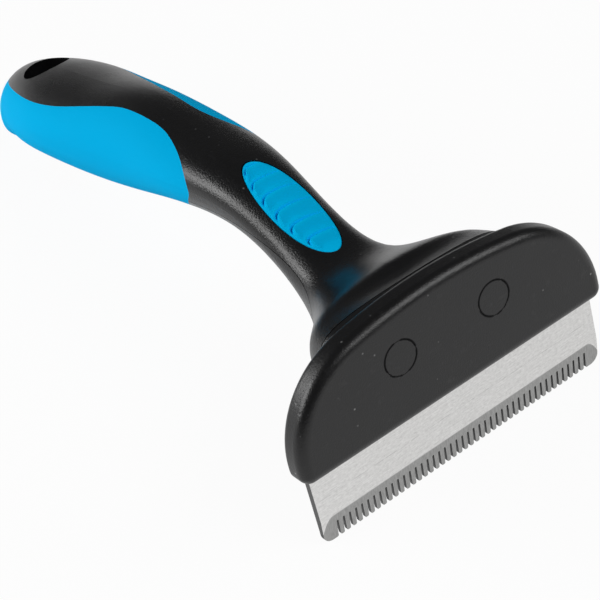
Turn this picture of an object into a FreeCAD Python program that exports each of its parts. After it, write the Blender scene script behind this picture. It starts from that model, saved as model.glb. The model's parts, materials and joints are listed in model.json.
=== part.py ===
# Deshedding tool for pets: a toothed steel blade clamped in a D-shaped head,
# which two screws hold against the flared base of a hollow two-shell handle.
#
# Working frame: X runs along the blade, Y runs back from the blade to the
# butt of the handle, Z points up from the tooth tips. The front face of the
# blade lies in Y = 0 and the tooth tips in Z = 0. At the end every sub-part
# gets one shared Placement, which lays the tool on a table the way it rests:
# on its tooth tips and on the underside of the butt.
import FreeCAD, Part
import Sketcher
import math
import os
import re
from FreeCAD import Placement, Rotation, Vector

doc = FreeCAD.newDocument("deshedding_tool")

# ---------------------------------------------------------------- sizes ----
# name, value in millimetres (or degrees, or a plain count), meaning
SIZES = [
    ("blade_width", 67.5, "blade, end to end"),
    ("blade_thickness", 1.5, "blade sheet"),
    ("blade_corner", 2.0, "radius of the blade's two lower corners"),
    ("blade_shoulder", 16.0, "radius of the blade's two upper corners, inside the head"),
    ("bevel_height", 5.5, "ground zone above the tips"),
    ("bevel_depth", 0.8, "steel taken off the front at the tips"),
    ("tooth_pitch", 1.41, "tooth to tooth"),
    ("gap_count", 44, "gaps between teeth"),
    ("gap_depth", 3.9, "depth of a gap"),
    ("gap_root_width", 0.42, "gap at its round root"),
    ("gap_mouth_width", 0.56, "gap above the rounded tips"),
    ("tip_radius", 0.3, "rounding of a tooth tip"),
    ("head_lower_edge", 15.5, "lower edge of the head above the tips, so the blade that shows"),
    ("head_height", 24.6, "head, lower edge to crown"),
    ("head_side_wall", 1.9, "head beyond each end of the blade"),
    ("head_top_wall", 5.4, "head above the blade's hidden top edge"),
    ("head_crown_radius", 100.0, "long arc over the crown"),
    ("head_shoulder_radius", 20.0, "arcs at the two shoulders"),
    ("head_corner_radius", 2.3, "arcs at the two lower corners"),
    ("face_wall", 2.5, "front cover, in front of the blade"),
    ("face_rim_radius", 2.1, "rounding of the face's rim"),
    ("back_wall", 1.7, "plate behind the blade"),
    ("back_rim_radius", 1.5, "rounding of the back plate's rim"),
    ("collar_height", 2.1, "oval collar on the back plate"),
    ("seam_depth", 0.4, "groove between collar and handle, inwards"),
    ("head_screw_spacing", 21.8, "between the two screws and their plugs"),
    ("head_screw_level", 14.0, "the two screws above the head's lower edge"),
    ("head_screw_diameter", 3.0, "shank"),
    ("head_screw_length", 15.0, "from the top of its head to its tip"),
    ("head_screw_head", 5.6, "countersunk head"),
    ("head_screw_head_height", 1.4, "countersunk head"),
    ("plug_diameter", 6.9, "flush plug over each screw"),
    ("plug_thickness", 0.9, "flush plug"),
    ("slide_clearance", 0.12, "between a plug and its bore, per side"),
    ("blade_clearance", 0.1, "between the blade and its pocket, per side"),
    ("screw_clearance", 0.2, "between a screw and a plain hole, per side"),
    ("thread_clearance", 0.02, "between a screw and its own thread"),
    ("tongue_width", 14.0, "tongue of the back plate in the lower shell"),
    ("tongue_height", 3.0, "tongue"),
    ("tongue_length", 4.5, "tongue, along Y from the handle's base"),
    ("tongue_level", 18.5, "underside of the tongue above the tips"),
    ("post_radius", 3.1, "screw posts inside the handle's base"),
    ("post_length", 10.0, "screw posts, from the handle's base"),
    ("end_wall", 2.5, "wall that closes the handle's base"),
    ("shell_wall", 2.2, "wall of the two handle shells"),
    ("grip_thickness", 1.6, "soft skins let into the shells"),
    ("parting_gap", 0.15, "seam between the two shells"),
    ("hole_diameter", 11.2, "hanging hole"),
    ("hole_at", 138.0, "hanging hole, behind the blade face"),
    ("tube_wall", 2.0, "tube around the hanging hole"),
    ("pad_at", 41.9, "middle of the thumb pad behind the blade face"),
    ("pad_length", 26.2, "thumb pad, measured level"),
    ("pad_width", 9.8, "thumb pad, across"),
    ("rib_pitch", 3.9, "rib to rib, measured level"),
    ("rib_gap", 1.0, "between two ribs, measured level"),
    ("rib_height", 0.35, "ribs above the pad"),
    ("pad_sink", 0.15, "pad between its ribs, below the shell's surface"),
    ("rib_margin", 0.9, "plain edge beside the ribs"),
    ("rib_end_margin", 1.4, "plain ends before the first and after the last rib"),
    ("shell_screw_diameter", 2.5, "shank"),
    ("shell_screw_length", 8.5, "under its head"),
    ("shell_screw_head", 4.6, "pan head"),
    ("shell_screw_head_height", 1.5, "pan head"),
    ("screw_sink", 0.8, "pan heads below the surface that they sit in"),
    ("recess_span", 2.6, "cross recess of a screw, arm end to arm end"),
    ("recess_slot", 0.6, "cross recess, width of an arm"),
    ("recess_depth", 0.9, "cross recess"),
    ("boss_radius", 2.6, "screw bosses inside the handle"),
    ("front_screw_at", 59.5, "shell screw in front of the grip"),
    ("middle_screw_at", 92.0, "shell screw under the grip"),
    ("rear_screw_at", 120.0, "shell screw under the grip"),
    ("butt_roundness", 2.2, "power of the curve that closes the butt"),
]

# Cross-sections of the handle, each an oval in a plane of constant Y:
# place behind the blade face, top, widest line, underside, half width, and
# the fullness of its corners (0.71 is a true ellipse, more is squarer).
STATIONS = [
    ("base", 5.5, 38.0, 29.1, 15.1, 22.7, 1.9),
    ("flare", 11.0, 37.5, 28.9, 16.3, 20.9, 1.6),
    ("throat", 20.0, 34.7, 27.0, 18.3, 14.1, 1.15),
    ("neck", 32.0, 35.5, 28.9, 22.4, 8.9, 0.9),
    ("thumb", 44.0, 41.3, 35.7, 28.1, 8.0, 0.82),
    ("crest", 58.0, 45.8, 40.5, 32.0, 9.2, 0.79),
    ("waist", 74.0, 48.1, 40.4, 31.0, 10.5, 0.77),
    ("hump", 92.0, 49.7, 38.9, 27.2, 10.8, 0.76),
    ("palm", 110.0, 47.7, 38.0, 24.75, 12.1, 0.76),
    ("belly", 128.0, 45.9, 35.9, 23.9, 12.8, 0.76),
    ("hanger", 142.0, 43.6, 32.4, 23.0, 11.2, 0.76),
    ("heel", 153.0, 39.2, 29.3, 22.0, 8.7, 0.76),
    ("butt", 158.7, 36.0, 26.1, 18.8, 8.7, 0.76),
]
# Degrees round the quarter turn of the butt at which it has a section.
BUTT_TURNS = (20, 40, 55, 68, 78)
STATION_SIZES = ("at", "top", "side", "bottom", "half_width", "fullness")

sheet = doc.addObject("Spreadsheet::Sheet", "Sizes")


def put_size(row, name, value):
    """Writes one named size into the sheet."""
    sheet.set(f"A{row}", name)
    sheet.set(f"B{row}", str(value))
    sheet.setAlias(f"B{row}", name)


row = 1
for name, value, meaning in SIZES:
    put_size(row, name, value)
    sheet.set(f"C{row}", meaning)
    row += 1
for station in STATIONS:
    for size_name, value in zip(STATION_SIZES, station[1:]):
        put_size(row, f"{station[0]}_{size_name}", value)
        row += 1
# Sizes that follow from the ones above.
DERIVED = [
    ("head_crown", "head_lower_edge + head_height"),
    ("head_half_width", "blade_width / 2 + head_side_wall"),
    ("head_screw_height", "head_lower_edge + head_screw_level"),
    ("blade_height", "head_crown - head_top_wall"),
    ("rib_length", "rib_pitch - rib_gap"),
]
for name, formula in DERIVED:
    put_size(row, name, "=" + formula)
    row += 1
doc.recompute()


def size(name):
    """One size of the sheet as a number."""
    return float(sheet.get(name))


# -------------------------------------------------------------- helpers ----
def bind(thing, **formulas):
    """Ties properties of an object to the sheet: bind(box, Length="a + b")."""
    for name, formula in formulas.items():
        thing.setExpression(name, formula)


def cell(formula):
    """A formula over size names, written out for setExpression."""
    return re.sub(r"[a-z_]+", r"Sizes.\g<0>", formula)


def new_body(name):
    """An empty PartDesign body."""
    body = doc.addObject("PartDesign::Body", name)
    body.Label = name
    return body


def origin_plane(body, role):
    """One of the body's own three origin planes."""
    return next(item for item in body.Origin.OriginFeatures if item.Role == role)


def sketch_on(body, name, role, level="0"):
    """A sketch on an origin plane of the body, moved along its normal by a formula."""
    sketch = body.newObject("Sketcher::SketchObject", name)
    sketch.AttachmentSupport = [(origin_plane(body, role), "")]
    sketch.MapMode = "FlatFace"
    sketch.setExpression("AttachmentOffset.Base.z", cell(level))
    doc.recompute()
    return sketch


def add_loop(sketch, curves):
    """Adds a closed loop of curves and gives the number of the first."""
    first = sketch.GeometryCount
    for curve in curves:
        sketch.addGeometry(curve, False)
    return first


def add_rectangle(sketch, left, bottom, right, top):
    """A rectangle from formulas for its four sides, tied to the sheet."""
    x0, y0, x1, y1 = (evaluate(f) for f in (left, bottom, right, top))
    corners = [Vector(x0, y0, 0), Vector(x1, y0, 0), Vector(x1, y1, 0), Vector(x0, y1, 0)]
    first = add_loop(sketch, [Part.LineSegment(a, b) for a, b in zip(corners, corners[1:] + corners[:1])])
    for i in range(4):
        sketch.addConstraint(Sketcher.Constraint("Coincident", first + i, 2, first + (i + 1) % 4, 1))
    sketch.addConstraint(Sketcher.Constraint("Horizontal", first))
    sketch.addConstraint(Sketcher.Constraint("Horizontal", first + 2))
    sketch.addConstraint(Sketcher.Constraint("Vertical", first + 1))
    sketch.addConstraint(Sketcher.Constraint("Vertical", first + 3))
    sides = [("DistanceX", first, 1, x0, left), ("DistanceY", first, 1, y0, bottom),
             ("DistanceX", first + 2, 1, x1, right), ("DistanceY", first + 2, 1, y1, top)]
    for kind, line, end, value, formula in sides:
        number = sketch.addConstraint(Sketcher.Constraint(kind, -1, 1, line, end, value))
        sketch.setExpression(f"Constraints[{number}]", cell(formula))


def add_circle(sketch, x, y, radius):
    """A circle from formulas for its centre and radius, tied to the sheet."""
    centre = Vector(evaluate(x), evaluate(y), 0)
    circle = sketch.addGeometry(Part.Circle(centre, Vector(0, 0, 1), evaluate(radius)), False)
    for kind, value, formula in (("DistanceX", centre.x, x), ("DistanceY", centre.y, y)):
        number = sketch.addConstraint(Sketcher.Constraint(kind, -1, 1, circle, 3, value))
        sketch.setExpression(f"Constraints[{number}]", cell(formula))
    number = sketch.addConstraint(Sketcher.Constraint("Radius", circle, evaluate(radius)))
    sketch.setExpression(f"Constraints[{number}]", cell(radius))


def evaluate(formula):
    """The number that a formula over size names stands for."""
    probe = doc.addObject("App::FeaturePython", "Probe")
    probe.addProperty("App::PropertyFloat", "Result")
    probe.setExpression("Result", cell(formula))
    probe.recompute()
    result = probe.Result
    doc.removeObject(probe.Name)
    return result


def add_feature(body, kind, name, sketch=None, **formulas):
    """A PartDesign feature with its sizes tied to the sheet."""
    feature = body.newObject("PartDesign::" + kind, name)
    if sketch is not None:
        feature.Profile = sketch
        sketch.Visibility = False
    bind(feature, **{key: cell(formula) for key, formula in formulas.items()})
    doc.recompute()
    return feature


def cut_through(body, name, sketch, both_ways=False):
    """A pocket through the whole body, behind its sketch or both ways from it."""
    pocket = add_feature(body, "Pocket", name, sketch)
    pocket.Type = "ThroughAll"
    if both_ways:
        pocket.SideType = "Symmetric"
    doc.recompute()
    return pocket


def add_fillet(body, name, edges, radius):
    """Rounds edges of the body's shape as it stands."""
    base_feature = body.Tip
    fillet = body.newObject("PartDesign::Fillet", name)
    fillet.Base = (base_feature, edges)
    bind(fillet, Radius=cell(radius))
    doc.recompute()


def outline_edges(body, level, lowest):
    """Names of the edges that lie in the plane Y = level and reach above Z = lowest."""
    names = []
    for number, edge in enumerate(body.Shape.Edges, 1):
        box = edge.BoundBox
        flat = abs(box.YMin - level) < 1e-4 and abs(box.YMax - level) < 1e-4
        if flat and box.ZMax > lowest:
            names.append(f"Edge{number}")
    return names


# ------------------------------------------------------ outline curves ----
def head_outline():
    """The D of the head: straight lower edge, two corners, shoulders and a long crown."""
    half, low, crown = size("head_half_width"), size("head_lower_edge"), size("head_crown")
    corner, shoulder = size("head_corner_radius"), size("head_shoulder_radius")
    long_arc = size("head_crown_radius")
    middle = Vector(0, crown - long_arc, 0)
    hub_x = half - shoulder
    hub_z = middle.y + math.sqrt((long_arc - shoulder) ** 2 - hub_x ** 2)
    joint = (Vector(hub_x, hub_z, 0) - middle).normalize() * long_arc + middle

    def mirrored(point):
        return Vector(-point.x, point.y, 0)

    hub = Vector(hub_x, hub_z, 0)
    drop = hub_z - (low + corner)
    if drop >= 0:
        hinge = Vector(half - corner, low + corner, 0)
        side, right = Vector(half, hub_z, 0), Vector(half, low + corner, 0)
    else:
        # low shoulders run straight into the corners, without an upright side
        hinge = Vector(hub_x + math.sqrt((shoulder - corner) ** 2 - drop ** 2), low + corner, 0)
        side = right = hub + (hinge - hub).normalize() * shoulder
    foot = Vector(hinge.x, low, 0)
    # half-way directions give each arc its middle point
    shoulder_mid = hub + ((joint - hub).normalize() + (side - hub).normalize()).normalize() * shoulder
    corner_mid = hinge + ((right - hinge).normalize() + Vector(0, -1, 0)).normalize() * corner
    arcs = [
        Part.Arc(foot, corner_mid, right),
        Part.Arc(side, shoulder_mid, joint),
        Part.Arc(joint, Vector(0, crown, 0), mirrored(joint)),
        Part.Arc(mirrored(joint), mirrored(shoulder_mid), mirrored(side)),
        Part.Arc(mirrored(right), mirrored(corner_mid), mirrored(foot)),
    ]
    sides = []
    if drop > 0:
        sides = [Part.LineSegment(right, side), Part.LineSegment(mirrored(side), mirrored(right))]
    return [Part.LineSegment(mirrored(foot), foot), *arcs, *sides]


def blade_outline(room):
    """The blade's sheet with rounded upper corners, larger by some room at the sides and top."""
    half, high = size("blade_width") / 2 + room, size("blade_height") + room
    bend = size("blade_shoulder") + room
    turn = bend * (1 - math.sqrt(0.5))
    corners = [Vector(half, 0, 0), Vector(half, high - bend, 0), Vector(half - bend, high, 0)]
    others = [Vector(-point.x, point.y, 0) for point in reversed(corners)]
    return [
        Part.LineSegment(corners[0], corners[1]),
        Part.Arc(corners[1], Vector(half - turn, high - turn, 0), corners[2]),
        Part.LineSegment(corners[2], others[0]),
        Part.Arc(others[0], Vector(turn - half, high - turn, 0), others[1]),
        Part.LineSegment(others[1], others[2]),
        Part.LineSegment(others[2], corners[0]),
    ]


def station(name):
    """One cross-section of the handle as a dictionary of its sizes."""
    return {key: size(f"{name}_{key}") for key in STATION_SIZES}


def between(first, second, at):
    """The cross-section at a place between two others."""
    share = (at - first["at"]) / (second["at"] - first["at"])
    return {key: first[key] + share * (second[key] - first[key]) for key in STATION_SIZES}


def oval(section, inset=0.0, scale=1.0):
    """Four conic arcs round a cross-section, in (x, z), from the right side over the top."""
    wide = (section["half_width"] - inset) * scale
    up = (section["top"] - section["side"] - inset) * scale
    down = (section["side"] - section["bottom"] - inset) * scale
    level, full = section["side"], section["fullness"]
    arcs = []
    for x, z, turned in ((wide, up, False), (-wide, up, True), (-wide, -down, False), (wide, -down, True)):
        poles = [Vector(x, level, 0), Vector(x, level + z, 0), Vector(0, level + z, 0)]
        if turned:
            poles.reverse()
        arc = Part.BSplineCurve()
        arc.buildFromPolesMultsKnots(poles, [3, 3], [0, 1], False, 2, [1, full, 1])
        arcs.append(arc)
    return arcs


def oval_wire(section, inset=0.0, scale=1.0):
    """The cross-section as a wire in its own plane of constant Y."""
    edges = [curve.toShape() for curve in oval(section, inset, scale)]
    wire = Part.Wire(edges)
    wire.Placement = Placement(Vector(0, section["at"], 0), Rotation(Vector(1, 0, 0), 90))
    return wire


def handle_form(name, inset):
    """A solid through all cross-sections and the closing butt, drawn in by the inset."""
    sections = [station(entry[0]) for entry in STATIONS]
    start, end = sections[-2], dict(sections[-1])
    end["at"] -= inset
    wires = [oval_wire(section, inset) for section in sections[:-1]]
    power = size("butt_roundness")
    for turn in BUTT_TURNS:
        along = math.sin(math.radians(turn))
        section = between(start, end, start["at"] + along * (end["at"] - start["at"]))
        wires.append(oval_wire(section, inset, (1 - along ** power) ** (1 / power)))
    return loft_object(name, wires)


def cavity_wires():
    """Sections of the hollow: thin walls in front, and room for the grip's skin behind."""
    sections = [station(entry[0]) for entry in STATIONS]
    wall, skin = size("shell_wall"), size("grip_thickness")
    closed = size("hole_at") - size("hole_diameter") / 2 - size("tube_wall")
    front = sections[0]["at"] + size("end_wall")
    wires = [oval_wire(between(sections[0], sections[1], front), wall)]
    grip_front = station("crest")["at"]
    previous = sections[0]
    for section in sections[1:]:
        inset = wall if section["at"] <= grip_front else wall + skin
        if section["at"] >= closed:
            wires.append(oval_wire(between(previous, section, closed), inset))
            break
        if section["at"] > front:
            wires.append(oval_wire(section, inset))
        previous = section
    return wires


def loft_object(name, wires):
    """A document object that holds a loft through wires."""
    thing = doc.addObject("Part::Feature", name)
    thing.Shape = Part.makeLoft(wires, True, False, False, 3)
    return thing


def side_profile(name, points, lid):
    """A closed side view in (y, z): a smooth curve through points, closed over a lid level."""
    curve = Part.BSplineCurve()
    curve.interpolate([Vector(0, y, z) for y, z in points])
    (y0, z0), (y1, z1) = points[0], points[-1]
    corners = [Vector(0, y1, z1), Vector(0, y1, lid), Vector(0, y0, lid), Vector(0, y0, z0)]
    edges = [curve.toShape()]
    edges += [Part.LineSegment(a, b).toShape() for a, b in zip(corners, corners[1:])]
    thing = doc.addObject("Part::Feature", name)
    thing.Shape = Part.Face(Part.Wire(edges))
    return thing


def across(name, face_object):
    """A side view stretched across the whole width of the tool."""
    block = doc.addObject("Part::Extrusion", name)
    block.Base = face_object
    block.DirMode = "Custom"
    block.Dir = Vector(1, 0, 0)
    bind(block, LengthFwd=cell("head_half_width * 2"))
    block.Symmetric = True
    block.Solid = True
    return block


def turned(name, kind, along_y, place, **formulas):
    """A Part cylinder or cone from formulas, standing up or lying along Y, with its foot at place."""
    thing = doc.addObject("Part::" + kind, name)
    bind(thing, **{key: cell(formula) for key, formula in formulas.items()})
    tilt = Rotation(Vector(1, 0, 0), -90) if along_y else Rotation()
    thing.Placement = Placement(Vector(*place), tilt)
    return thing


def block(name, place, **formulas):
    """A Part box from formulas, with its lowest corner at place."""
    thing = doc.addObject("Part::Box", name)
    bind(thing, **{key: cell(formula) for key, formula in formulas.items()})
    thing.Placement.Base = Vector(*place)
    return thing


def combine(kind, name, *things):
    """A Part boolean: Cut and Common take two objects, MultiFuse takes many."""
    thing = doc.addObject("Part::" + kind, name)
    if kind in ("Cut", "Common"):
        thing.Base, thing.Tool = things
    else:
        thing.Shapes = list(things)
    doc.recompute()
    return thing


# ------------------------------------------------------------ the blade ----
blade = new_body("blade")
sheet_outline = sketch_on(blade, "BladeOutline", "XZ_Plane", "0 - blade_thickness")
add_loop(sheet_outline, blade_outline(0.0))
for side in ("0 - head_screw_spacing / 2", "head_screw_spacing / 2"):
    add_circle(sheet_outline, side, "head_screw_height", "head_screw_diameter / 2 + screw_clearance")
add_feature(blade, "Pad", "BladeSheet", sheet_outline, Length="blade_thickness")

corners = [
    f"Edge{number}"
    for number, edge in enumerate(blade.Shape.Edges, 1)
    if edge.BoundBox.ZMax < 1e-4 and edge.BoundBox.XLength < 1e-4
]
add_fillet(blade, "BladeCorners", corners, "blade_corner")

bevel_sketch = sketch_on(blade, "BevelProfile", "YZ_Plane")
overshoot = 1.0
slope = size("bevel_depth") / size("bevel_height")
bevel_corners = [
    Vector(0, size("bevel_height"), 0),
    Vector(size("bevel_depth") + slope * overshoot, -overshoot, 0),
    Vector(-overshoot, -overshoot, 0),
    Vector(-overshoot, size("bevel_height"), 0),
]
add_loop(bevel_sketch, [Part.LineSegment(a, b)
                        for a, b in zip(bevel_corners, bevel_corners[1:] + bevel_corners[:1])])
cut_through(blade, "Bevel", bevel_sketch, both_ways=True)

gap_sketch = sketch_on(blade, "GapProfile", "XZ_Plane")
root, mouth = size("gap_root_width") / 2, size("gap_mouth_width") / 2
tip = size("tip_radius")
first_x = -(size("gap_count") - 1) / 2 * size("tooth_pitch")
depth = size("gap_depth")


def gap_point(x, z):
    """A point of the first gap, from its middle line at the tips."""
    return Vector(first_x + x, z, 0)


# The tips' arcs cross the lower edge at an angle and go on straight below it.
half_way, foot_way, below_way, half_up = 0.25 * tip, 0.8 * tip, 1.4 * tip, 0.35 * tip
gap_curves = [
    Part.Arc(gap_point(root, depth - root), gap_point(0, depth), gap_point(-root, depth - root)),
    Part.LineSegment(gap_point(-root, depth - root), gap_point(-mouth, tip)),
    Part.Arc(gap_point(-mouth, tip), gap_point(-mouth - half_way, half_up), gap_point(-mouth - foot_way, 0)),
    Part.LineSegment(gap_point(-mouth - foot_way, 0), gap_point(-mouth - below_way, -tip)),
    Part.LineSegment(gap_point(-mouth - below_way, -tip), gap_point(mouth + below_way, -tip)),
    Part.LineSegment(gap_point(mouth + below_way, -tip), gap_point(mouth + foot_way, 0)),
    Part.Arc(gap_point(mouth + foot_way, 0), gap_point(mouth + half_way, half_up), gap_point(mouth, tip)),
    Part.LineSegment(gap_point(mouth, tip), gap_point(root, depth - root)),
]
add_loop(gap_sketch, gap_curves)
gap = cut_through(blade, "Gap", gap_sketch)
gaps = blade.newObject("PartDesign::LinearPattern", "Gaps")
gaps.Originals = [gap]
gaps.Direction = (origin_plane(blade, "X_Axis"), [""])
bind(gaps, Length=cell("(gap_count - 1) * tooth_pitch"), Occurrences=cell("gap_count"))
blade.Tip = gaps
doc.recompute()

# ------------------------------------------------------- the front cover ----
head_front = new_body("head_front")
cover_outline = sketch_on(head_front, "CoverOutline", "XZ_Plane", "0 - blade_thickness")
add_loop(cover_outline, head_outline())
add_feature(head_front, "Pad", "Cover", cover_outline, Length="face_wall + blade_thickness")
face_rim = outline_edges(head_front, -size("face_wall"), size("head_lower_edge") + 1e-3)
add_fillet(head_front, "FaceRim", face_rim, "face_rim_radius")

pocket_sketch = sketch_on(head_front, "BladePocketOutline", "XZ_Plane", "0 - blade_thickness")
add_loop(pocket_sketch, blade_outline(size("blade_clearance")))
blade_pocket = add_feature(head_front, "Pocket", "BladePocket", pocket_sketch, Length="blade_thickness")
blade_pocket.Reversed = True
doc.recompute()

bore_sketch = sketch_on(head_front, "PlugBoreOutline", "XZ_Plane", "face_wall")
hole_sketch = sketch_on(head_front, "ScrewHoleOutline", "XZ_Plane", "face_wall")
for side in ("0 - head_screw_spacing / 2", "head_screw_spacing / 2"):
    add_circle(bore_sketch, side, "head_screw_height", "plug_diameter / 2 + slide_clearance")
    add_circle(hole_sketch, side, "head_screw_height", "head_screw_diameter / 2 + screw_clearance")
add_feature(head_front, "Pocket", "PlugBores", bore_sketch, Length="plug_thickness")
cut_through(head_front, "ScrewHoles", hole_sketch)
for name, side in (("LeftSeat", "0 - head_screw_spacing / 2"), ("RightSeat", "head_screw_spacing / 2")):
    seat = head_front.newObject("PartDesign::SubtractiveCone", name)
    seat.AttachmentSupport = [(origin_plane(head_front, "XZ_Plane"), "")]
    seat.MapMode = "FlatFace"
    bind(seat, Radius1=cell("head_screw_diameter / 2"), Radius2=cell("head_screw_head / 2"),
         Height=cell("head_screw_head_height"))
    seat.setExpression("AttachmentOffset.Base.x", cell(side))
    seat.setExpression("AttachmentOffset.Base.y", cell("head_screw_height"))
    seat.setExpression("AttachmentOffset.Base.z", cell("face_wall - plug_thickness - head_screw_head_height"))
doc.recompute()

# --------------------------------------------------------- the back plate ----
# The plate closes the blade pocket from behind. Its oval collar carries the
# handle, with a groove left between them, and its tongue holds the lower shell.
head_back = new_body("head_back")
plate_outline = sketch_on(head_back, "PlateOutline", "XZ_Plane", "0 - blade_thickness")
add_loop(plate_outline, head_outline())
plate = add_feature(head_back, "Pad", "Plate", plate_outline, Length="back_wall")
plate.Reversed = True
doc.recompute()
back_face = size("blade_thickness") + size("back_wall")
add_fillet(head_back, "BackRim", outline_edges(head_back, back_face, 0), "back_rim_radius")

base = station("base")
for name, inset, start, length in (
    ("Collar", 0.0, "0 - blade_thickness - back_wall", "collar_height"),
    ("Seat", size("seam_depth"), "0 - blade_thickness - back_wall - collar_height",
     "base_at - blade_thickness - back_wall - collar_height"),
):
    collar_sketch = sketch_on(head_back, name + "Outline", "XZ_Plane", start)
    add_loop(collar_sketch, oval(base, inset))
    collar = add_feature(head_back, "Pad", name, collar_sketch, Length=length)
    collar.Reversed = True
    doc.recompute()

tongue_sketch = sketch_on(head_back, "TongueOutline", "XZ_Plane", "0 - base_at")
add_rectangle(tongue_sketch, "0 - tongue_width / 2", "tongue_level",
              "tongue_width / 2", "tongue_level + tongue_height")
tongue = add_feature(head_back, "Pad", "Tongue", tongue_sketch, Length="tongue_length")
tongue.Reversed = True
back_holes = sketch_on(head_back, "BackHoleOutline", "XZ_Plane")
for side in ("0 - head_screw_spacing / 2", "head_screw_spacing / 2"):
    add_circle(back_holes, side, "head_screw_height", "head_screw_diameter / 2 + screw_clearance")
cut_through(head_back, "BackHoles", back_holes)

# ------------------------------------------------------ forms of the handle ----
# Side views in (y, z), from the butt forwards.
PARTING_LINE = [(175, 23.5), (150, 27.5), (120, 33), (90, 36), (57, 37.5), (42, 35.4), (25, 29.5), (0, 25.7)]
GRIP_LINE = [(175, 34.5), (148.3, 39.4), (137.1, 41.2), (126.8, 42.6), (116.1, 44.3), (107.2, 46.1),
             (98.6, 47.8), (93.3, 48.6), (87.3, 48.8), (81.1, 48.4), (76.9, 47.8), (71.7, 46.6),
             (67.6, 45.2), (65.2, 43.8), (63.8, 42.2), (63.5, 40.6), (64.5, 38.9), (67.6, 35.6),
             (73, 28.5), (76, 20.5)]
# Levels well above and below the whole tool.
HIGH, LOW = 90, -30

outer = handle_form("OuterForm", 0.0)
skin = handle_form("SkinFloor", size("grip_thickness"))
hollow = loft_object("Hollow", cavity_wires())

above = across("AboveParting", side_profile("AboveView", PARTING_LINE, HIGH))
lower_line = [(y, z - size("parting_gap")) for y, z in PARTING_LINE]
below = across("BelowParting", side_profile("BelowView", lower_line, LOW))
grip_side = across("GripSide", side_profile("GripView", GRIP_LINE, LOW))


def oval_well(name, room):
    """An upright oval column at the thumb pad, larger than the pad by a formula."""
    ellipse = doc.addObject("Part::Ellipse", name + "Outline")
    bind(ellipse, MajorRadius=cell(f"pad_length / 2 + {room}"), MinorRadius=cell(f"pad_width / 2 + {room}"))
    ellipse.Placement = Placement(Vector(0, size("pad_at"), 0), Rotation(Vector(0, 0, 1), 90))
    column = doc.addObject("Part::Extrusion", name)
    column.Base = ellipse
    column.DirMode = "Custom"
    column.Dir = Vector(0, 0, 1)
    column.LengthFwd = HIGH
    column.Solid = True
    doc.recompute()
    return combine("Common", name + "Above", column, above)


def underside(at):
    """Lowest point of the handle's section at a place along it."""
    sections = [station(entry[0]) for entry in STATIONS]
    for first, second in zip(sections, sections[1:]):
        if first["at"] <= at <= second["at"]:
            return between(first, second, at)["bottom"]
    raise ValueError("no section of the handle there")


grip_zone = combine("Cut", "GripZone", grip_side, skin)
core = combine("Cut", "Core", outer, grip_zone)
upper_block = combine("Common", "UpperBlock", core, above)
lower_block = combine("Common", "LowerBlock", core, below)

# ------------------------------------------------- fasteners, one by one ----
screw_places = [(side * size("head_screw_spacing") / 2, size("head_screw_height")) for side in (-1, 1)]
seat_y = -(size("face_wall") - size("plug_thickness"))
base_y = size("base_at")


def cross_recess(name, place, along_y):
    """The cross for a screwdriver, at the middle of a screw's flat end."""
    x, y, z = place
    span, slot, depth = size("recess_span"), size("recess_slot"), size("recess_depth")
    arms = []
    for number, (wide, deep) in enumerate(((span, slot), (slot, span)), 1):
        arm = doc.addObject("Part::Box", f"{name}Arm{number}")
        arm.Length = wide
        arm.Width, arm.Height = (depth, deep) if along_y else (deep, depth)
        low = (x - wide / 2, y, z - deep / 2) if along_y else (x - wide / 2, y - deep / 2, z)
        arm.Placement.Base = Vector(*low)
        arms.append(arm)
    return combine("MultiFuse", name, *arms)


def head_screw(name, x, z):
    """Countersunk screw through cover, blade and plate into a post of the handle."""
    head = turned(name + "_cone", "Cone", True, (x, seat_y, z), Radius1="head_screw_head / 2",
                  Radius2="head_screw_diameter / 2", Height="head_screw_head_height")
    shank = turned(name + "_shank", "Cylinder", True, (x, seat_y, z), Radius="head_screw_diameter / 2",
                   Height="head_screw_length - head_screw_diameter / 2")
    tip_y = seat_y + size("head_screw_length") - size("head_screw_diameter") / 2
    point = turned(name + "_tip", "Cone", True, (x, tip_y, z), Radius1="head_screw_diameter / 2",
                   Radius2="head_screw_diameter / 6", Height="head_screw_diameter / 2")
    solid = combine("MultiFuse", name + "_blank", head, shank, point)
    cross = cross_recess(name + "_cross", (x, seat_y, z), True)
    return combine("Cut", name, solid, cross)


def shell_screw(name, y, seat):
    """Pan-head screw, driven up through the lower shell into a boss of the upper one."""
    bottom = seat - size("shell_screw_head_height")
    head = turned(name + "_pan", "Cylinder", False, (0, y, bottom), Radius="shell_screw_head / 2",
                  Height="shell_screw_head_height")
    shank = turned(name + "_shank", "Cylinder", False, (0, y, bottom), Radius="shell_screw_diameter / 2",
                   Height="shell_screw_head_height + shell_screw_length - shell_screw_diameter / 2")
    tip_z = seat + size("shell_screw_length") - size("shell_screw_diameter") / 2
    point = turned(name + "_tip", "Cone", False, (0, y, tip_z), Radius1="shell_screw_diameter / 2",
                   Radius2="shell_screw_diameter / 6", Height="shell_screw_diameter / 2")
    solid = combine("MultiFuse", name + "_blank", head, shank, point)
    cross = cross_recess(name + "_cross", (0, y, bottom), False)
    return combine("Cut", name, solid, cross)


def face_plug(name, side):
    """Flush plug over one head screw."""
    body = new_body(name)
    circle = sketch_on(body, name + "_outline", "XZ_Plane", "face_wall - plug_thickness")
    add_circle(circle, side, "head_screw_height", "plug_diameter / 2")
    add_feature(body, "Pad", name + "_disc", circle, Length="plug_thickness")
    return body


plugs = [face_plug("face_plug_left", "0 - head_screw_spacing / 2"),
         face_plug("face_plug_right", "head_screw_spacing / 2")]
head_screws = [head_screw("head_screw_" + word, x, z)
               for word, (x, z) in zip(("left", "right"), screw_places)]

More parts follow.
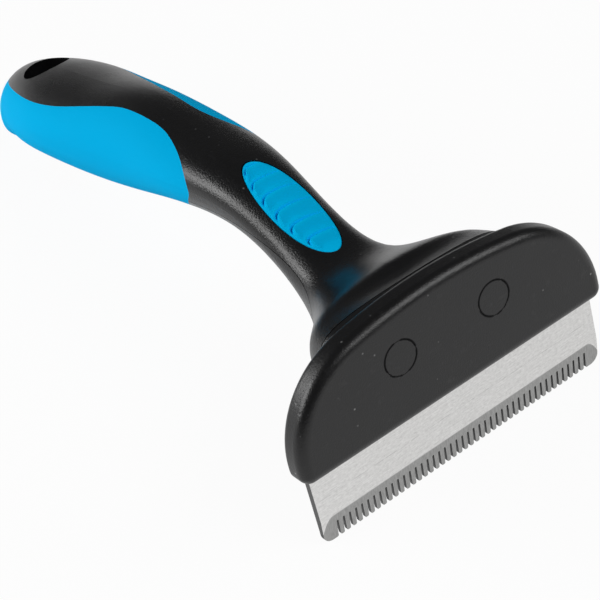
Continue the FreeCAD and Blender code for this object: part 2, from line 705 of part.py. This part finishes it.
shell_screw_rows = []
for word in ("front", "middle", "rear"):
    y = size(word + "_screw_at")
    cover = 0 if word == "front" else size("grip_thickness")
    seat = underside(y) + cover + size("shell_screw_head_height") + size("screw_sink")
    shell_screw_rows.append((word, y, seat))
shell_screws = [shell_screw("shell_screw_" + word, y, seat) for word, y, seat in shell_screw_rows]

# ------------------------------------------------------ the upper shell ----
hole_y = size("hole_at")
tube = turned("Tube", "Cylinder", False, (0, hole_y, 0), Height="head_crown * 2",
              Radius="hole_diameter / 2 + tube_wall")
tube_room = turned("TubeRoom", "Cylinder", False, (0, hole_y, 0), Height="head_crown * 2",
                   Radius="hole_diameter / 2 + tube_wall + slide_clearance")
hanging_hole = turned("HangingHole", "Cylinder", False, (0, hole_y, 0), Radius="hole_diameter / 2",
                      Height="head_crown * 2")
posts = [turned(f"Post{n}", "Cylinder", True, (x, base_y, z), Radius="post_radius", Height="post_length")
         for n, (x, z) in enumerate(screw_places, 1)]
post_bores = [turned(f"PostBore{n}", "Cylinder", True, (x, base_y, z), Height="post_length",
                     Radius="head_screw_diameter / 2 + thread_clearance")
              for n, (x, z) in enumerate(screw_places, 1)]
bosses = [turned(f"Boss{n}", "Cylinder", False, (0, y, seat), Radius="boss_radius", Height="head_crown")
          for n, (word, y, seat) in enumerate(shell_screw_rows, 1)]
boss_bores = [turned(f"BossBore{n}", "Cylinder", False, (0, y, seat), Height="shell_screw_length",
                     Radius="shell_screw_diameter / 2 + thread_clearance")
              for n, (word, y, seat) in enumerate(shell_screw_rows, 1)]

upper_walls = combine("Cut", "UpperWalls", upper_block, hollow)
inner_posts = combine("Common", "UpperPosts", combine("MultiFuse", "AllPosts", *posts, *bosses), upper_block)
upper_tube = combine("Common", "UpperTube", tube, outer)
upper_whole = combine("MultiFuse", "UpperWhole", upper_walls, inner_posts, upper_tube)
pad_zone = combine("Cut", "PadZone", oval_well("PadWell", "0"), skin)
pad_room = combine("Cut", "PadRoom", oval_well("PadWellWide", "slide_clearance"), skin)
upper_cuts = combine("MultiFuse", "UpperCuts", pad_room, hanging_hole, *post_bores, *boss_bores)
upper_shell = combine("Cut", "upper_shell", upper_whole, upper_cuts)

# ------------------------------------------------------ the lower shell ----
pillars = [turned(f"Pillar{n}", "Cylinder", False, (0, y, 0), Height="head_crown * 2",
                  Radius="shell_screw_head / 2 + screw_clearance + shell_wall / 2")
           for n, (word, y, seat) in enumerate(shell_screw_rows, 1)]
shank_holes = [turned(f"ShankHole{n}", "Cylinder", False, (0, y, 0), Height="head_crown * 2",
                      Radius="shell_screw_diameter / 2 + screw_clearance")
               for n, (word, y, seat) in enumerate(shell_screw_rows, 1)]
head_holes = []
for number, (word, y, seat) in enumerate(shell_screw_rows, 1):
    head_hole = doc.addObject("Part::Cylinder", f"HeadHole{number}")
    bind(head_hole, Radius=cell("shell_screw_head / 2 + screw_clearance"))
    head_hole.Height = seat
    head_hole.Placement.Base = Vector(0, y, 0)
    head_holes.append(head_hole)
room = size("slide_clearance")
tongue_room = block("TongueRoom", (-size("tongue_width") / 2 - room, base_y, size("tongue_level") - room),
                    Length="tongue_width + 2 * slide_clearance", Width="tongue_length + slide_clearance",
                    Height="tongue_height + 2 * slide_clearance")
lower_walls = combine("Cut", "LowerWalls", lower_block, hollow)
inner_pillars = combine("Common", "LowerPillars", combine("MultiFuse", "AllPillars", *pillars), lower_block)
lower_whole = combine("MultiFuse", "LowerWhole", lower_walls, inner_pillars)
lower_cuts = combine("MultiFuse", "LowerCuts", tube_room, tongue_room, *shank_holes, *head_holes)
lower_shell = combine("Cut", "lower_shell", lower_whole, lower_cuts)

# -------------------------------------------------- the two soft skins ----
grip_solid = combine("Common", "GripSolid", outer, grip_zone)
belly_grip = combine("Cut", "belly_grip", grip_solid, tube_room)

pad_face = handle_form("PadFace", size("pad_sink"))
rib_face = handle_form("RibFace", size("pad_sink") - size("rib_height"))
pad_body = combine("Common", "PadBody", pad_face, pad_zone)
rib_solid = combine("Cut", "RibSolid", combine("Common", "RibsAbove", rib_face, above), skin)
rib_room = size("pad_length") - 2 * size("rib_end_margin")
rib_count = int(rib_room / size("rib_pitch") + 1e-6)
bend = size("rib_length") / 2
bars = []
for number in range(rib_count):
    offset = (number - (rib_count - 1) / 2) * size("rib_pitch")
    middle = size("pad_at") + offset
    share = offset / (size("pad_length") / 2)
    reach = size("pad_width") / 2 * math.sqrt(1 - share ** 2) - size("rib_margin")
    flat = block(f"Rib{number + 1}", (bend - reach, middle - bend, 0),
                 Width="rib_length", Height="head_crown * 2")
    flat.Length = 2 * (reach - bend)
    ends = [turned(f"Rib{number + 1}End{end}", "Cylinder", False, (side * (reach - bend), middle, 0),
                   Radius="rib_length / 2", Height="head_crown * 2") for end, side in ((1, -1), (2, 1))]
    bars += [flat, *ends]
ribs = combine("Common", "Ribs", rib_solid, combine("MultiFuse", "RibBars", *bars))
thumb_pad = combine("MultiFuse", "thumb_pad", pad_body, ribs)

# ------------------------------------- the tool lying as it rests on a table ----
PARTS = [blade, head_front, head_back, *plugs, *head_screws, *shell_screws,
         upper_shell, lower_shell, belly_grip, thumb_pad]
doc.recompute()


TOUCH = 0.02  # how closely the points follow a curved surface
STEEPEST = 30.0  # degrees
HALVINGS = 40


def outline_points(things):
    """Points close together on the surface of some parts."""
    return [point for thing in things for point in thing.Shape.tessellate(TOUCH)[0]]


def lowest(points, tilt):
    """Lowest height of some points once the tool is tipped about X."""
    turn = Rotation(Vector(1, 0, 0), tilt)
    return min(turn.multVec(point).z for point in points)


tooth_points = outline_points([blade])
handle_points = outline_points([belly_grip, lower_shell])
steep, level = -STEEPEST, 0.0
for _ in range(HALVINGS):
    tilt = (steep + level) / 2
    if lowest(handle_points, tilt) < lowest(tooth_points, tilt):
        steep = tilt
    else:
        level = tilt
tipping = Rotation(Vector(1, 0, 0), (steep + level) / 2)
every_point = [tipping.multVec(point) for point in outline_points(PARTS)]
middle_y = (max(point.y for point in every_point) + min(point.y for point in every_point)) / 2
floor_z = min(point.z for point in every_point)
resting = Placement(Vector(0, -middle_y, -floor_z), tipping)
for thing in PARTS:
    thing.Placement = resting
doc.recompute()

for thing in doc.Objects:
    if "Invalid" in thing.State or "Error" in thing.State:
        raise RuntimeError(f"{thing.Label} did not compute")
for thing in PARTS:
    if thing.Shape.isNull() or not thing.Shape.isValid() or len(thing.Shape.Solids) != 1:
        raise RuntimeError(f"{thing.Label} is not one sound solid")

os.makedirs("parts", exist_ok=True)
for thing in PARTS:
    thing.Shape.exportStep(f"parts/{thing.Label}.step")
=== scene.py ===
import json
import math

import bmesh
import bpy
import numpy as np
from mathutils import Matrix, Vector
from mathutils.bvhtree import BVHTree


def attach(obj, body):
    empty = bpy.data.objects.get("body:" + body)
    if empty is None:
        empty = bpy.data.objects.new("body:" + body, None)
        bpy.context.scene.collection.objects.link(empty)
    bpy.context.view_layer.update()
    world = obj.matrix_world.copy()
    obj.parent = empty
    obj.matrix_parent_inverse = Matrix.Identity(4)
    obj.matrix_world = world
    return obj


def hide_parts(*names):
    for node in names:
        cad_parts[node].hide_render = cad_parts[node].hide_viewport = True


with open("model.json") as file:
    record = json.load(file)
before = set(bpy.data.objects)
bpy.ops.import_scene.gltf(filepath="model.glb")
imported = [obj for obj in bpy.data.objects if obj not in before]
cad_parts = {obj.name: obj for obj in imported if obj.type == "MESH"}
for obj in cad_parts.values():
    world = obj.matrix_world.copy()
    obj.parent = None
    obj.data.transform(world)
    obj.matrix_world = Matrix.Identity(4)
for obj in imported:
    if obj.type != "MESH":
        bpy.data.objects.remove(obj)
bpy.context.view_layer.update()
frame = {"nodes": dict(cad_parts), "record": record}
scene = bpy.context.scene

# ------------------------------------------------------------- the tool's own axes ----
# The tool leans on a table. Its own axes have X along the blade, Y back along the
# handle and Z up from the tooth tips, and the hanging hole gives both the lean and the place.
hole = next(mount for mount in frame["record"]["mounts"] if mount["name"] == "hanging_hole")
HOLE_ON_TOOL = Vector((0, 0.138, 0.0335))
TIP = -math.atan2(hole["axis"][1], hole["axis"][2])
LEAN = Matrix.Rotation(TIP, 4, "X")
SHIFT = Vector(hole["pos_m"]) - LEAN @ HOLE_ON_TOOL
REST = Matrix.Translation(SHIFT) @ LEAN
MM = 0.001


# ------------------------------------------------------------------- materials ----
class Material:
    """A node material with one Principled shader, and short ways to add to it."""

    def __init__(self, name, colour, roughness, metallic=0.0):
        self.data = bpy.data.materials.new(name)
        self.data.use_nodes = True
        self.tree = self.data.node_tree
        self.shader = self.tree.nodes["Principled BSDF"]
        self.set("Base Color", (*colour, 1))
        self.set("Roughness", roughness)
        self.set("Metallic", metallic)

    def set(self, socket, value):
        self.shader.inputs[socket].default_value = value

    def node(self, kind, **inputs):
        node = self.tree.nodes.new("ShaderNode" + kind)
        for key, value in inputs.items():
            if hasattr(value, "node"):
                self.tree.links.new(value, node.inputs[key])
            else:
                node.inputs[key].default_value = value
        return node

    def link(self, output, socket):
        self.tree.links.new(output, self.shader.inputs[socket])

    def place(self, stretch=(1, 1, 1)):
        """Millimetres along the tool's own axes, stretched."""
        coordinates = self.node("TexCoord").outputs["Object"]
        own = self.node("Mapping", Vector=coordinates, Location=SHIFT, Rotation=(TIP, 0, 0),
                        Scale=(MM, MM, MM))
        own.vector_type = "TEXTURE"
        return self.node("Mapping", Vector=own.outputs["Vector"], Scale=stretch).outputs["Vector"]

    def blend(self, share, first, second):
        """A colour between two others; each is a colour or an output."""
        node = self.node("Mix")
        node.data_type = "RGBA"
        sockets = [socket for socket in node.inputs if socket.type == "RGBA"]
        self.tree.links.new(share, node.inputs[0])
        for socket, colour in zip(sockets, (first, second)):
            if hasattr(colour, "node"):
                self.tree.links.new(colour, socket)
            else:
                socket.default_value = (*colour, 1)
        return next(socket for socket in node.outputs if socket.type == "RGBA")

    def noise(self, scale, detail=4.0, roughness=0.5, place=None):
        node = self.node("TexNoise", Vector=place or self.place(), Scale=scale, Detail=detail,
                         Roughness=roughness)
        return node.outputs["Fac"]

    def ramp(self, value, stops):
        node = self.node("ValToRGB", Fac=value)
        elements = node.color_ramp.elements
        while len(elements) < len(stops):
            elements.new(0.5)
        for element, (at, colour) in zip(elements, stops):
            element.position = at
            rgb = colour if hasattr(colour, "__len__") else (colour,) * 3
            element.color = (*rgb, 1)
        return node.outputs["Color"]

    def span(self, value, low, high, start=0.0, end=1.0):
        node = self.node("MapRange", Value=value)
        node.inputs["From Min"].default_value = start
        node.inputs["From Max"].default_value = end
        node.inputs["To Min"].default_value = low
        node.inputs["To Max"].default_value = high
        return node.outputs["Result"]

    def math(self, kind, a, b=0.0):
        node = self.tree.nodes.new("ShaderNodeMath")
        node.operation = kind
        for socket, value in zip(node.inputs, (a, b)):
            if hasattr(value, "node"):
                self.tree.links.new(value, socket)
            else:
                socket.default_value = value
        return node.outputs[0]

    def bump(self, height, strength, distance):
        node = self.node("Bump", Height=height, Strength=strength, Distance=distance)
        return node.outputs["Normal"]


def black_plastic(name, colour, roughness, grain, depth, dusty):
    """Injection-moulded black plastic: fine grain, faint unevenness, some dust and scuffs."""
    m = Material(name, colour, roughness)
    place = m.place()
    fine = m.noise(grain, 2.0, place=place)
    broad = m.noise(0.09, 3.0, place=place)
    base = m.span(broad, roughness - 0.05, roughness + 0.05)
    m.link(m.math("ADD", m.span(fine, -0.06, 0.06), base), "Roughness")
    dots = m.node("TexVoronoi", Vector=place, Scale=0.45)
    speck = m.ramp(dots.outputs["Distance"], [(0.0, 1.0), (0.12, 0.0)])
    chosen = m.node("SeparateXYZ", Vector=dots.outputs["Color"]).outputs["X"]
    rare = m.ramp(chosen, [(0.72, 0.0), (0.97, 1.0)])
    cloud = m.noise(0.5, 5.0, 0.7, place=place)
    scuff = m.ramp(cloud, [(0.58, 0.0), (0.75, 1.0)])
    marks = m.math("MAXIMUM", m.math("MULTIPLY", speck, rare), m.math("MULTIPLY", scuff, 0.03))
    mottled = m.blend(m.span(m.noise(1.3, 4.0, place=place), 0, 1, 0.35, 0.65),
                      [c * 0.8 for c in colour], [c * 1.25 for c in colour])
    m.link(m.blend(m.math("MULTIPLY", marks, dusty), mottled, (0.4, 0.4, 0.4)), "Base Color")
    m.link(m.bump(fine, 0.5, depth), "Normal")
    return m


shell_black = black_plastic("shell_black", (0.003, 0.003, 0.0035), 0.3, 2.8, 0.00014, 0.4)
head_black = black_plastic("head_black", (0.003, 0.003, 0.0035), 0.34, 3.2, 0.0001, 1.0)

# a darker, duller line where each plug sits in its bore, broken in places
PLUG_X, PLUG_Z, PLUG_RING = 10.9, 29.5, 3.52
own = head_black.node("SeparateXYZ", Vector=head_black.place())
across = head_black.math("SUBTRACT", head_black.math("ABSOLUTE", own.outputs["X"]), PLUG_X)
upward = head_black.math("SUBTRACT", own.outputs["Z"], PLUG_Z)
from_axis = head_black.math("SQRT", head_black.math("ADD", head_black.math("POWER", across, 2.0),
                                                    head_black.math("POWER", upward, 2.0)))
off_ring = head_black.math("ABSOLUTE", head_black.math("SUBTRACT", from_axis, PLUG_RING))
ring = head_black.math("MULTIPLY", head_black.span(off_ring, 1, 0, 0.15, 0.38),
                       head_black.span(head_black.noise(0.3), 0, 1, 0.38, 0.45))
even = head_black.shader.inputs["Roughness"].links[0].from_socket
head_black.link(head_black.math("MAXIMUM", even, ring), "Roughness")


def blue_rubber(name, colour):
    """Soft-touch rubber: dull, with hardly any gloss and a very fine skin."""
    m = Material(name, colour, 0.7)
    m.set("Specular IOR Level", 0.02)
    m.link(m.span(m.noise(0.06, 3.0), 0.62, 0.78), "Roughness")
    m.link(m.bump(m.noise(3.5, 2.0), 0.25, 0.00002), "Normal")
    return m


grip_blue = blue_rubber("grip_blue", (0.0, 0.50, 0.92))
pad_blue = blue_rubber("pad_blue", (0.0, 0.55, 0.98))

# the blade: a finely ground face, one long grind mark, and a bevel coloured darker and a little
# rougher
steel = Material("ground_steel", (0.66, 0.655, 0.645), 0.3, 1.0)
split = steel.node("SeparateXYZ", Vector=steel.place())
height = split.outputs["Z"]
side = steel.math("ABSOLUTE", split.outputs["X"])
along = steel.noise(1.0, 3.0, place=steel.place((0.25, 4.0, 7.0)))
cloud = steel.noise(2.2, 5.0, 0.7, place=steel.place((0.6, 1.0, 1.0)))
grain = steel.math("ADD", steel.math("MULTIPLY", along, 0.4), steel.math("MULTIPLY", cloud, 0.6))
bright = steel.ramp(grain, [(0.36, (0.62, 0.615, 0.605)), (0.64, (0.86, 0.855, 0.845))])
upright = steel.noise(1.0, 3.0, place=steel.place((9.0, 4.0, 0.5)))
# the bevel's colour, darker than the face
darker_bevel = steel.ramp(upright, [(0.3, (0.30, 0.30, 0.295)), (0.7, (0.44, 0.44, 0.435))])
# the bevel's upper limit turns down towards the blade's ends
BEVEL_TOP, TURN_FROM, BLADE_END = 5.5, 31.0, 33.75
turn = steel.math("POWER", steel.span(side, 0.0, 1.75, TURN_FROM, BLADE_END), 2.0)
limit = steel.math("SUBTRACT", BEVEL_TOP, turn)
bevel = steel.span(steel.math("SUBTRACT", limit, height), 0, 1, -0.12, 0.12)
grind_level = steel.span(steel.noise(0.05), 9.5, 10.7)
line = steel.math("ABSOLUTE", steel.math("SUBTRACT", height, grind_level))
broken = steel.span(steel.noise(0.4), 0, 0.6, 0.42, 0.55)
mark = steel.math("MULTIPLY", steel.span(line, 1, 0, 0.0, 0.12), broken)
faced = steel.blend(mark, bright, (0.42, 0.42, 0.41))
# painted shade: faces turned along X (the side walls of the gaps between the teeth, and the
# blade's ends) are painted near black to stand for the shade in the gaps
facing = steel.node("SeparateXYZ", Vector=steel.node("NewGeometry").outputs["True Normal"])
gap_wall_shade = steel.span(steel.math("ABSOLUTE", facing.outputs["X"]), 0, 1, 0.5, 0.75)
ground = steel.blend(bevel, faced, darker_bevel)
steel.link(steel.blend(gap_wall_shade, ground, (0.07, 0.07, 0.07)), "Base Color")
duller = steel.math("MULTIPLY", bevel, 0.1)
steel.link(steel.math("ADD", steel.span(along, 0.26, 0.4), duller), "Roughness")
steel.link(steel.bump(along, 0.2, 0.00001), "Normal")

plated = Material("plated_screw", (0.62, 0.62, 0.61), 0.28, 1.0)
plated.link(plated.span(plated.noise(0.9, 3.0, place=plated.place()), 0.2, 0.36), "Roughness")

LOOKS = {
    "blade": steel,
    "head_front": head_black,
    "head_back": head_black,
    "face_plug_left": head_black,
    "face_plug_right": head_black,
    "head_screw_left": plated,
    "head_screw_right": plated,
    "shell_screw_front": plated,
    "shell_screw_middle": plated,
    "shell_screw_rear": plated,
    "upper_shell": shell_black,
    "lower_shell": shell_black,
    "belly_grip": grip_blue,
    "thumb_pad": pad_blue,
}
for name, look in LOOKS.items():
    node = frame["nodes"][name]
    node.data.materials.clear()
    node.data.materials.append(look.data)


# -------------------------------------------------------------------- thumb pad ----
# The soft pad has six shingle-like ribs. Each rises in a short step on its butt side
# and slopes down gently towards the head. Millimetres on the tool's own axes.
PAD_AT, PAD_LONG, PAD_WIDE = 41.9, 26.1, 9.7
FIRST_STEP, STEP_PITCH, STEP_COUNT = 53.3, 3.9, 6
STEP_HIGH = 0.75    # a rib's crest above the pad's skin
STEP_RUN = 0.45     # the step, from its foot to the crest
CREST_RUN = 0.7     # from the foot to where the slope starts
FALL_RUN = 1.7      # the slope
CUT_DEEP, CUT_RUN, CUT_BACK = 0.6, 0.45, 0.4    # the cut behind a step's foot
STEP_SLANT = 0.1    # how far a step drifts towards the butt per millimetre to the left
LEFT_BEND = 1.2     # how far its left end turns towards the head
PAD_LOW = -0.1      # the skin against the handle's surface
RIB_MARGIN, RIB_FADE = 0.75, 0.8    # plain border beside the ribs, and where they fade
RIB_END, END_FADE = 1.1, 0.6        # the same at the head end
EDGE_ROUND, PAD_THICK = 0.28, 1.3
PAD_ROWS, PAD_COLUMNS = 300, 90
NARROWEST = 0.2     # half a rib's width below which the pad's ends stay plain
NODE_RIB, NODE_GAP = 0.35, -0.15    # the CAD solid's ribs and gaps against the same surface
FIT_SPAN, FIT_STEP, FIT_SHARE = 13, 0.5, 0.9    # where that surface is sampled


def pad_floor(part):
    """Height of the handle's surface under the pad, as a function of x and y."""
    inverse = REST.inverted()
    points = [inverse @ v.co / MM for v in part.data.vertices]
    tree = BVHTree.FromPolygons(points, [tuple(f.vertices) for f in part.data.polygons])

    def terms(x, y):
        t = (y - PAD_AT) / FIT_SPAN
        return [1, t, t ** 2, t ** 3, t ** 4, x ** 2, x ** 2 * t, x ** 2 * t ** 2, x ** 4]

    samples = []
    for j in range(-24, 25):
        for i in range(-8, 9):
            x, y = i * FIT_STEP, PAD_AT + j * FIT_STEP
            if (2 * x / PAD_WIDE) ** 2 + (2 * (y - PAD_AT) / PAD_LONG) ** 2 < FIT_SHARE:
                hit = tree.ray_cast(Vector((x, y, 100)), Vector((0, 0, -1)))[0]
                samples.append((terms(x, y), hit.z))
    rows = np.array([row for row, z in samples])
    heights = np.array([z for row, z in samples])
    fit = np.linalg.lstsq(rows, heights, rcond=None)[0]
    # each pass sorts the samples into ribs and gaps again, and fits what lies between
    for _ in range(4):
        off = heights - rows @ fit
        level = np.where(off > (off.max() + off.min()) / 2, NODE_RIB, NODE_GAP)
        fit = np.linalg.lstsq(rows, heights - level, rcond=None)[0]
    return lambda x, y: float(np.dot(terms(x, y), fit))


def smooth(t):
    """An even ramp from 0 to 1 that starts and ends level."""
    t = min(1.0, max(0.0, t))
    return t * t * (3 - 2 * t)


def rib_height(x, y, half_wide):
    """How far the ribs stand above the pad's skin; below zero in the cut at a step's foot."""
    reach = half_wide - RIB_MARGIN
    if reach <= NARROWEST:
        return 0.0
    # the steps run straight across and turn towards the head at their left end
    bend = LEFT_BEND * max(0.0, min(1.0, -x / reach)) ** 8
    along = FIRST_STEP - bend - STEP_SLANT * x - y
    number = math.floor((along + CUT_BACK + CUT_RUN) / STEP_PITCH)
    if number < 0 or number >= STEP_COUNT:
        return 0.0
    into = along - number * STEP_PITCH
    cut = smooth(1 - abs(into + CUT_BACK) / CUT_RUN)
    rise = smooth(into / STEP_RUN)
    fall = 1 - smooth((into - CREST_RUN) / FALL_RUN)
    side = smooth((reach - abs(x)) / RIB_FADE + 0.5)
    end = smooth((y - (PAD_AT - PAD_LONG / 2 + RIB_END)) / END_FADE)
    return (STEP_HIGH * rise * fall - CUT_DEEP * cut) * side * end


def thumb_pad():
    """The pad as one closed mesh in place of the CAD solid."""
    surface = pad_floor(frame["nodes"]["thumb_pad"])
    rows, columns = PAD_ROWS, PAD_COLUMNS
    a, b = PAD_WIDE / 2, PAD_LONG / 2
    points, faces = [], []
    for j in range(1, rows):
        v = math.sin(math.pi * (j / rows - 0.5))
        half_wide = a * math.sqrt(1 - v * v)
        for i in range(columns + 1):
            x = half_wide * math.sin(math.pi * (i / columns - 0.5))
            y = b * v
            rim = (1 - (x / a) ** 2 - v * v) / (2 * math.hypot(x / a ** 2, y / b ** 2) + 1e-6)
            near = EDGE_ROUND - min(EDGE_ROUND, max(0.0, rim))
            drop = EDGE_ROUND - math.sqrt(EDGE_ROUND ** 2 - near ** 2)
            y += PAD_AT
            top = surface(x, y) + PAD_LOW - drop
            points.append((x, y, top + rib_height(x, y, half_wide)))
    wide = columns + 1
    for j in range(rows - 2):
        for i in range(columns):
            k = j * wide + i
            faces.append((k, k + 1, k + 1 + wide, k + wide))
    # the rim goes down into the well, and a floor closes the pad
    last = (rows - 2) * wide
    loop = list(range(wide)) + [k * wide + columns for k in range(1, rows - 2)]
    loop += [last + i for i in reversed(range(wide))] + [k * wide for k in range(rows - 3, 0, -1)]
    start = len(points)
    points += [(points[k][0], points[k][1], points[k][2] - PAD_THICK) for k in loop]
    for n, k in enumerate(loop):
        m = (n + 1) % len(loop)
        faces.append((k, start + n, start + m, loop[m]))
    faces.append(tuple(start + n for n in range(len(loop)))[::-1])
    mesh = bpy.data.meshes.new("ribbed_pad")
    mesh.from_pydata([REST @ (Vector(p) * MM) for p in points], [], faces)
    mesh.validate()
    mesh.update()
    shape = bmesh.new()
    shape.from_mesh(mesh)
    bmesh.ops.recalc_face_normals(shape, faces=shape.faces)
    shape.to_mesh(mesh)
    shape.free()
    mesh.shade_smooth()
    mesh.set_sharp_from_angle(angle=math.radians(50))
    pad = bpy.data.objects.new("ribbed_pad", mesh)
    scene.collection.objects.link(pad)
    mesh.materials.append(pad_blue.data)
    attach(pad, "root")
    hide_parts("thumb_pad")


thumb_pad()


# ---------------------------------------------------------------- floor and sky ----
def stage_mesh(name, corners):
    mesh = bpy.data.meshes.new(name)
    mesh.from_pydata(corners, [], [tuple(range(len(corners)))])
    thing = bpy.data.objects.new(name, mesh)
    scene.collection.objects.link(thing)
    return thing


# how much of the paper's brightness is its own, as seen by the camera, and what share of
# that the tool's reflections see; the rest takes the tool's shadow
PAPER_GLOW, MIRRORED_GLOW = 0.95, 0.76
floor = stage_mesh("floor", [(-3, -3, 0), (3, -3, 0), (3, 3, 0), (-3, 3, 0)])
paper = bpy.data.materials.new("paper")
paper.use_nodes = True
tree = paper.node_tree
diffuse = tree.nodes["Principled BSDF"]
diffuse.inputs["Base Color"].default_value = (0.86, 0.86, 0.86, 1)
diffuse.inputs["Roughness"].default_value = 0.9
glow = tree.nodes.new("ShaderNodeEmission")
glow.inputs["Color"].default_value = (1, 1, 1, 1)
path = tree.nodes.new("ShaderNodeLightPath")
mirrored = tree.nodes.new("ShaderNodeMath")
mirrored.operation = "MULTIPLY"
tree.links.new(path.outputs["Is Glossy Ray"], mirrored.inputs[0])
mirrored.inputs[1].default_value = MIRRORED_GLOW
seen = tree.nodes.new("ShaderNodeMath")
seen.operation = "ADD"
tree.links.new(path.outputs["Is Camera Ray"], seen.inputs[0])
tree.links.new(mirrored.outputs[0], seen.inputs[1])
share = tree.nodes.new("ShaderNodeMath")
share.operation = "MULTIPLY"
tree.links.new(seen.outputs[0], share.inputs[0])
share.inputs[1].default_value = PAPER_GLOW
blend = tree.nodes.new("ShaderNodeMixShader")
tree.links.new(share.outputs[0], blend.inputs[0])
tree.links.new(diffuse.outputs[0], blend.inputs[1])
tree.links.new(glow.outputs[0], blend.inputs[2])
tree.links.new(blend.outputs[0], tree.nodes["Material Output"].inputs["Surface"])
floor.data.materials.append(paper)

world = bpy.data.worlds.new("studio")
scene.world = world
world.use_nodes = True
tree = world.node_tree
plain = tree.nodes["Background"]
plain.inputs["Color"].default_value = (1, 1, 1, 1)
plain.inputs["Strength"].default_value = 0.11
white = tree.nodes.new("ShaderNodeBackground")
white.inputs["Color"].default_value = (1, 1, 1, 1)
white.inputs["Strength"].default_value = 1.0
path = tree.nodes.new("ShaderNodeLightPath")
blend = tree.nodes.new("ShaderNodeMixShader")
tree.links.new(path.outputs["Is Camera Ray"], blend.inputs[0])
tree.links.new(plain.outputs[0], blend.inputs[1])
tree.links.new(white.outputs[0], blend.inputs[2])
tree.links.new(blend.outputs[0], tree.nodes["World Output"].inputs["Surface"])


# ------------------------------------------------------------------------ lamps ----
def soft_lamp(name, place, target, wide, high, power):
    lamp = bpy.data.lights.new(name, "AREA")
    lamp.shape = "RECTANGLE"
    lamp.size = wide
    lamp.size_y = high
    lamp.energy = power
    thing = bpy.data.objects.new(name, lamp)
    scene.collection.objects.link(thing)
    thing.location = place
    thing.rotation_euler = (Vector(target) - Vector(place)).to_track_quat("-Z", "Y").to_euler()


soft_lamp("lamp_left", (-0.70, 0.45, 0.42), (0, 0.02, 0.03), 0.8, 0.38, 6)
soft_lamp("lamp_front", (0.45, -0.66, 0.72), (0, 0, 0.02), 0.8, 0.5, 5.2)

# ----------------------------------------------------------------------- camera ----
LENS = 114
RIGHT = Vector((0.78517, -0.574475, -0.23127))
UP = Vector((0.481499, 0.331463, 0.811351))
BACK = Vector((-0.389444, -0.748405, 0.536864))
EYE_ON_TOOL = Vector((-0.148946, -0.237171, 0.219778))
camera = bpy.data.cameras.new("camera")
camera.sensor_width = 36
camera.lens = LENS
eye = bpy.data.objects.new("camera", camera)
scene.collection.objects.link(eye)
view = Matrix((RIGHT, UP, BACK)).transposed().to_4x4()
view.translation = EYE_ON_TOOL
eye.matrix_world = REST @ view
scene.camera = eye

scene.view_settings.view_transform = "Standard"
